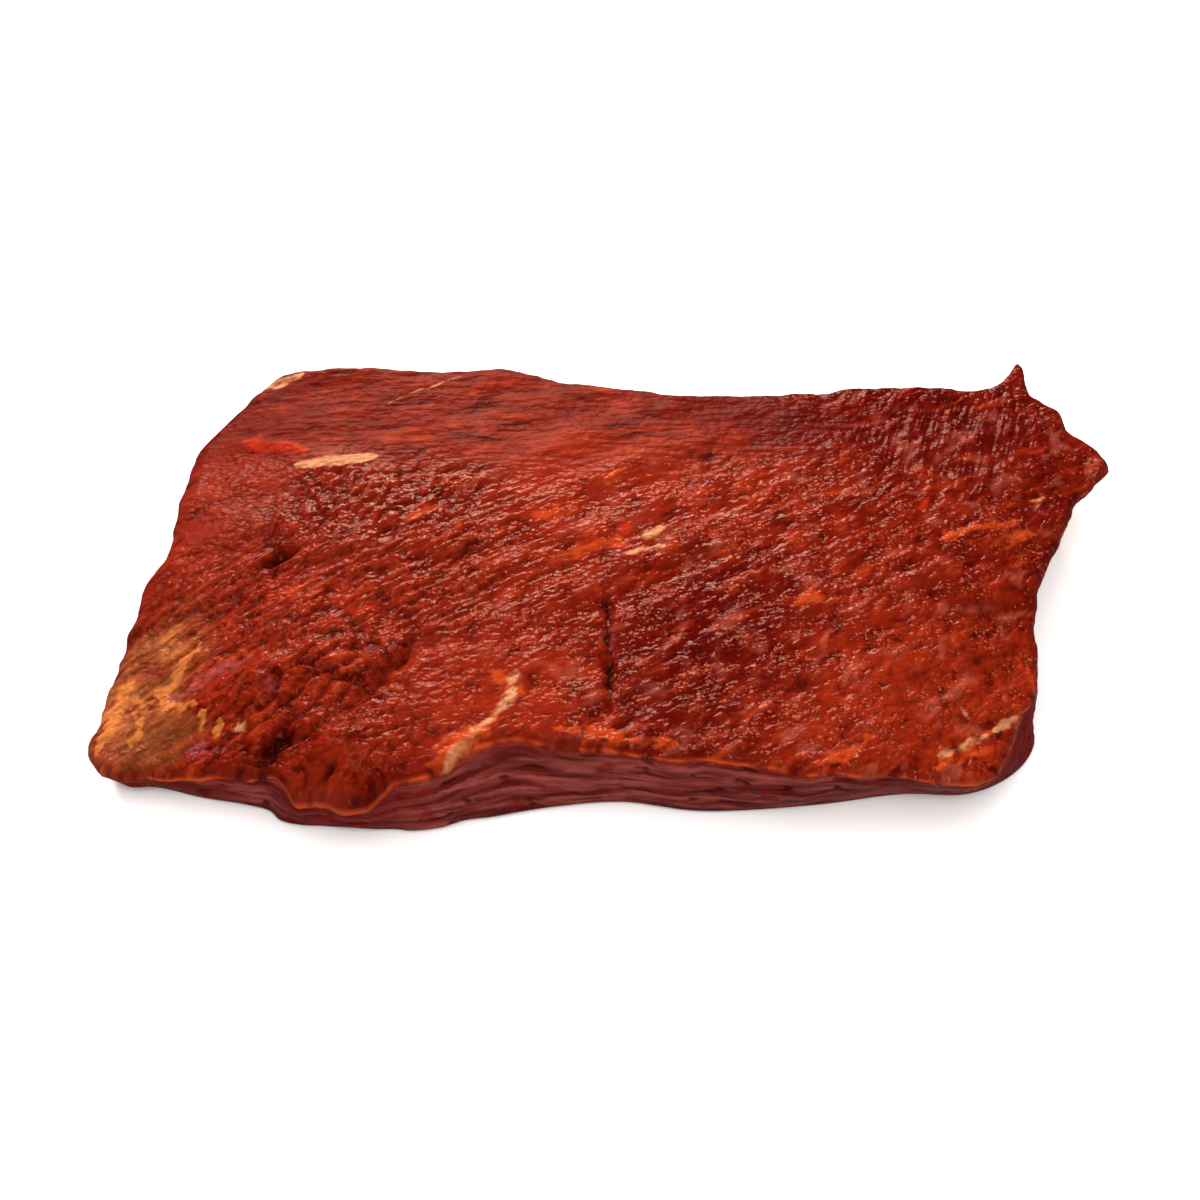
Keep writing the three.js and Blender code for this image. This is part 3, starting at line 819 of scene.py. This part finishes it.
class Finish:
    """A node material in the making."""

    def __init__(self, name):
        self.material = bpy.data.materials.new(name)
        self.material.use_nodes = True
        self.tree = self.material.node_tree
        self.tree.nodes.clear()

    def node(self, kind, settings=None, inputs=None):
        """Adds one node. Settings are its properties, inputs are numbers, colours or links."""
        node = self.tree.nodes.new(kind)
        for key, value in (settings or {}).items():
            setattr(node, key, value)
        for key, value in (inputs or {}).items():
            value = getattr(value, "socket", value)
            if isinstance(value, bpy.types.NodeSocket):
                self.tree.links.new(value, node.inputs[key])
            else:
                node.inputs[key].default_value = value
        return node

    def value(self, name):
        """A named value of the mesh."""
        node = self.node("ShaderNodeAttribute", {"attribute_name": name})
        return Field(self, node.outputs["Fac"])

    def cells(self, name, length, width):
        """A named place of the mesh, measured in cells of a length by a width in millimetres."""
        place = self.node("ShaderNodeAttribute", {"attribute_name": name}).outputs["Vector"]
        return self.node("ShaderNodeVectorMath", {"operation": "MULTIPLY"},
                         {0: place, 1: (1 / length, 1 / width, 0)}).outputs[0]

    def noise(self, place, detail, roughness):
        """Soft noise from 0 to 1 over cells."""
        node = self.node("ShaderNodeTexNoise", {"noise_dimensions": "2D"}, {
            "Vector": place, "Scale": 1.0, "Detail": detail, "Roughness": roughness,
        })
        return Field(self, node.outputs[0])

    def grains(self, place, raggedness, share):
        """Small ragged grains, at most one to a cell, in the given share of the cells.

        A grain is the smooth step of 1 less 9 times the sum of the squared distance to the cell's
        point and the raggedness, times a random number of the cell."""
        node = self.node("ShaderNodeTexVoronoi", {"voronoi_dimensions": "2D"},
                         {"Vector": place, "Scale": 1.0})
        distance = Field(self, node.outputs["Distance"])
        parts = self.node("ShaderNodeSeparateColor", {}, {0: node.outputs["Color"]})
        chance, strength = Field(self, parts.outputs[0]), Field(self, parts.outputs[1])
        body = (1 - (distance * distance + raggedness) * 9).step(0.0, 1.1)
        return body * (share - chance).step(0.0, 0.15) * (strength * 0.85 + 0.15)

    def mix(self, factor, first, second):
        """Colour that goes from the first to the second by the factor, held between 0 and 1."""
        node = self.node("ShaderNodeMix", {"data_type": "RGBA", "clamp_factor": True},
                         {0: factor, 6: first, 7: second})
        return node.outputs[2]


def lean_colour(beef, crest, grit_and_glints):
    """Reds of the lean meat: warm or deep by place, painted light on crests, painted shade in dips and
    creases.

    Streaks, thin films and grains lie over them; the grains are pale specks lightened as painted
    glints."""
    warmth = beef.value("warm").step(-0.9, 1.3)
    colour = beef.mix(warmth, paint("deep lean"), paint("warm lean"))
    colour = beef.mix(beef.value("shade"), colour, paint("shaded lean"))
    # Painted light: the crests of the relief get lighter reds, as where they catch the light.
    lit_crest_colour = beef.mix(warmth, paint("deep lit crest"), paint("warm lit crest"))
    colour = beef.mix(crest.step(0.0, 1.2) * 0.5, colour, lit_crest_colour)
    # Painted shade in the dips of the relief.
    colour = beef.mix((0.0 - crest).step(0.0, 0.95) * 0.85, colour, paint("dip shade"))
    # Painted shade in the creases.
    colour = beef.mix(beef.value("crease_shade") * 0.75, colour, paint("crease_shade"))
    streaks = beef.value("streaks").step(0.35, 1.0) * beef.value("granular")
    colour = beef.mix(streaks * 0.3, colour, paint("streak"))
    colour = beef.mix(beef.value("film") * 0.3, colour, paint("film"))
    # Grains: pale fat specks, partly painted glints.
    return beef.mix(grit_and_glints * 0.6, colour, paint("grain"))


def side_colour(beef, tone, fibre):
    """Cut sides: pale and dark layers, the pale ones partly a painted sheen, red blots, painted shade
    in the nicks, and ruddy ends with painted shade under the fold's flap.
    """
    streaks = beef.value("side_streaks") + fibre * 1.2
    # Pale pinkish layers, whose paleness is partly a painted sheen.
    colour = beef.mix(streaks.step(-0.8, 0.9), paint("deep side"), paint("pale side and sheen"))
    colour = beef.mix(beef.value("side_blots").step(0.3, 0.7) * 0.6, colour, paint("side blot"))
    # Painted shade in the nicks, where the side's relief is low.
    colour = beef.mix((0.0 - tone).step(0.15, 0.5) * 0.7, colour, paint("side nick shade"))
    # Ruddy ends, with painted shade on the side under the fold's flap.
    return beef.mix(beef.value("ruddy_and_shade") * 0.85, colour, paint("ruddy side"))


def marked_colour(beef, lean, on_top, ragged, membrane):
    """The marks over the lean meat, in turn: orange, vivid, amber, membrane and fat, then a painted
    lit line along the rim and painted shade in the holes.
    """
    orange = (beef.value("orange") + ragged).step(0.0, 1.2)
    vivid = (beef.value("vivid") + ragged * 0.3).step(0.0, 0.9)
    amber = (beef.value("amber") + ragged).step(0.0, 0.7)
    fat = (beef.value("fat") + ragged * 0.9).step(0.1, 1.0)
    fat_colour = beef.mix(ragged * 1.5 + 0.5, paint("deep fat"), paint("pale fat"))
    colour = beef.mix(orange * on_top * 0.5, lean, paint("orange"))
    colour = beef.mix(vivid * 0.6, colour, paint("vivid"))
    colour = beef.mix(amber * 0.55, colour, paint("amber"))
    colour = beef.mix(membrane * (0.4 + ragged * 1.2), colour, paint("membrane"))
    colour = beef.mix(fat * on_top * 0.75, colour, fat_colour)
    # Painted lit line along the rim.
    colour = beef.mix(beef.value("edge") * 0.8, colour, paint("rim"))
    # Painted shade in the hollows and cracks.
    return beef.mix(beef.value("hollow_shade").step(0.1, 0.9) * 0.92, colour, paint("hole shade"))


def raw_beef():
    """Moist lean meat: fibres, bumps and grains as relief, mottled reds and marks, uneven gloss;
    painted light on crests and along the rim, painted shade in dips, creases, hollows and nicks, and
    pale grains as painted glints.
    """
    beef = Finish("raw_beef")
    granular, tone = beef.value("granular"), beef.value("tone")
    wall = beef.value("down").step(0.02, 0.14)

    # Relief, in millimetres
    fibre = (beef.noise(beef.cells("fibre_place", 9, 1.8), 1, 0.4) - 0.5) * beef.value("calm")
    fine = beef.noise(beef.cells("spread_place", 2.8, 2.1), 1, 0.55) - 0.5
    rough = beef.value("rough") * (1 - wall * 0.8)
    grit_share = rough * (granular * 0.6 + 0.1)
    # Grains: real small bumps, and in the colour partly painted glints.
    grit_and_glints = beef.grains(beef.cells("spread_place", 1.2, 0.95), fine * 0.6, grit_share)
    amount = beef.value("slanted") * 0.6 + beef.value("back") * 0.25 + beef.value("upright") * 0.2
    amount = amount + granular * 0.15 + wall * 0.5 + 0.15
    ragged = fibre * 1.2 + fine * 0.8
    membrane = (beef.value("membrane") + ragged).step(0.0, 0.9)
    relief = fibre * amount * 1.3 + grit_and_glints * 0.14 + fine * (rough + membrane * 0.7 + 0.3)
    bump = beef.node("ShaderNodeBump", {}, {"Strength": 1.0, "Distance": MM, "Height": relief})

    # Colours
    # Height of the relief, for the painted light on crests and the painted shade in dips.
    crest = tone + fibre * amount + fine * (rough * 1.5 + 0.5)
    lean = beef.mix(wall, lean_colour(beef, crest, grit_and_glints), side_colour(beef, tone, fibre))
    grain = (beef.value("streaks") + fibre + fine).step(-0.8, 0.8)
    tan = beef.mix(grain, paint("deep tan"), paint("pale tan"))
    lean = beef.mix(beef.value("brown") * (0.6 + beef.value("blotches") * 0.35), lean, tan)
    lean = beef.mix(beef.value("scab") * (0.7 + fine * 0.8), lean, paint("scab"))
    colour = marked_colour(beef, lean, 1 - wall, ragged, membrane)

    shader = beef.node("ShaderNodeBsdfPrincipled", {}, {
        "Base Color": colour,
        "Roughness": beef.value("dull") - beef.value("wet") * 0.04 - membrane * 0.14,
        "Normal": bump.outputs[0],
        "IOR": 1.45,
        "Specular IOR Level": 0.13,
        "Specular Tint": (1.0, 0.58, 0.42, 1.0),
    })
    beef.node("ShaderNodeOutputMaterial", {}, {"Surface": shader.outputs[0]})
    return beef.material


# The studio: lengths in metres, the rise of the camera in degrees
FLOOR_HALF = 4.0
FLOOR_GAP = 0.0002
LIGHT_AIM = (0, 0, 0.015)
WARM_LIGHT = (1.0, 0.71, 0.57)
CAMERA_AIM = (-CENTRE[0] * MM, -CENTRE[1] * MM, 0.016)
CAMERA_RISE = 52
CAMERA_DISTANCE = 0.72


def studio_floor():
    """A large pale floor just under the slab, with a faint even mottling. No gloss mirrors it."""
    corners = [(FLOOR_HALF * x, FLOOR_HALF * y, 0) for x, y in ((-1, -1), (1, -1), (1, 1), (-1, 1))]
    mesh = bpy.data.meshes.new("studio_floor")
    mesh.from_pydata(corners, [], [(0, 1, 2, 3)])
    floor = bpy.data.objects.new("studio_floor", mesh)
    bpy.context.scene.collection.objects.link(floor)
    floor.location.z = -FLOOR_GAP
    floor.visible_glossy = False
    paper = Finish("pale_floor")
    place = paper.node("ShaderNodeTexCoord").outputs["Object"]
    tone = paper.node("ShaderNodeTexNoise", {}, {"Vector": place, "Scale": 16.0, "Detail": 2.0})
    shader = paper.node("ShaderNodeBsdfPrincipled", {}, {
        "Base Color": paper.mix(tone.outputs[0], (0.94, 0.94, 0.94, 1), (0.96, 0.96, 0.96, 1)),
        "Roughness": 0.9,
        "Specular IOR Level": 0.1,
    })
    paper.node("ShaderNodeOutputMaterial", {}, {"Surface": shader.outputs[0]})
    mesh.materials.append(paper.material)
    return floor


def aim(item, target):
    """Turns a camera or a light so that it looks at a point."""
    direction = np.array(target) - np.array(item.location)
    flat = math.hypot(direction[0], direction[1])
    turn = math.atan2(-direction[0], direction[1])
    item.rotation_euler = (math.atan2(flat, -direction[2]), 0, turn)


def studio_light(name, place, size, power, mirrored=True, colour=(1, 1, 1)):
    """A square soft light that looks at the slab, and that gloss mirrors or not."""
    lamp = bpy.data.lights.new(name, "AREA")
    lamp.shape = "SQUARE"
    lamp.size = size
    lamp.energy = power
    lamp.color = colour
    item = bpy.data.objects.new(name, lamp)
    bpy.context.scene.collection.objects.link(item)
    item.location = place
    item.visible_glossy = mirrored
    aim(item, LIGHT_AIM)


def studio_camera():
    """The view of the photograph: from above the front side, aimed at the middle of the outline."""
    rise = math.radians(CAMERA_RISE)
    camera = bpy.data.cameras.new("camera")
    camera.lens = 75
    camera.sensor_width = 36
    camera.clip_start = 0.01
    item = bpy.data.objects.new("camera", camera)
    bpy.context.scene.collection.objects.link(item)
    item.location = CAMERA_AIM + CAMERA_DISTANCE * np.array([0, -math.cos(rise), math.sin(rise)])
    aim(item, CAMERA_AIM)
    bpy.context.scene.camera = item


def studio_world():
    """Even white surroundings."""
    world = bpy.data.worlds.new("studio")
    world.use_nodes = True
    background = world.node_tree.nodes["Background"]
    background.inputs["Color"].default_value = (1, 1, 1, 1)
    background.inputs["Strength"].default_value = 0.08
    bpy.context.scene.world = world


slab = beef_slab()
slab.data.materials.append(raw_beef())
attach(slab, "root")
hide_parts("beef_roast")

studio_floor()
studio_camera()
studio_world()
studio_light("key_light", place=(-0.6, 1.1, 0.75), size=0.5, power=18.0, mirrored=False)
studio_light("gloss_light", place=(-0.08, 1.39, 0.52), size=0.34, power=12.5, colour=WARM_LIGHT)
studio_light("left_light", place=(-0.46, 1.25, 0.52), size=0.3, power=8.5, colour=WARM_LIGHT)
studio_light("corner_light", place=(-0.73, 0.57, 0.92), size=0.22, power=4.5, colour=(1.0, 0.85, 0.85))
studio_light("front_light", place=(0.15, -0.75, 1.35), size=0.25, power=5.0, colour=(1.0, 0.85, 0.76))
studio_light("fill_light", place=(0.1, -0.5, 1.6), size=2.2, power=50.0, mirrored=False)
bpy.context.scene.view_settings.view_transform = "Standard"
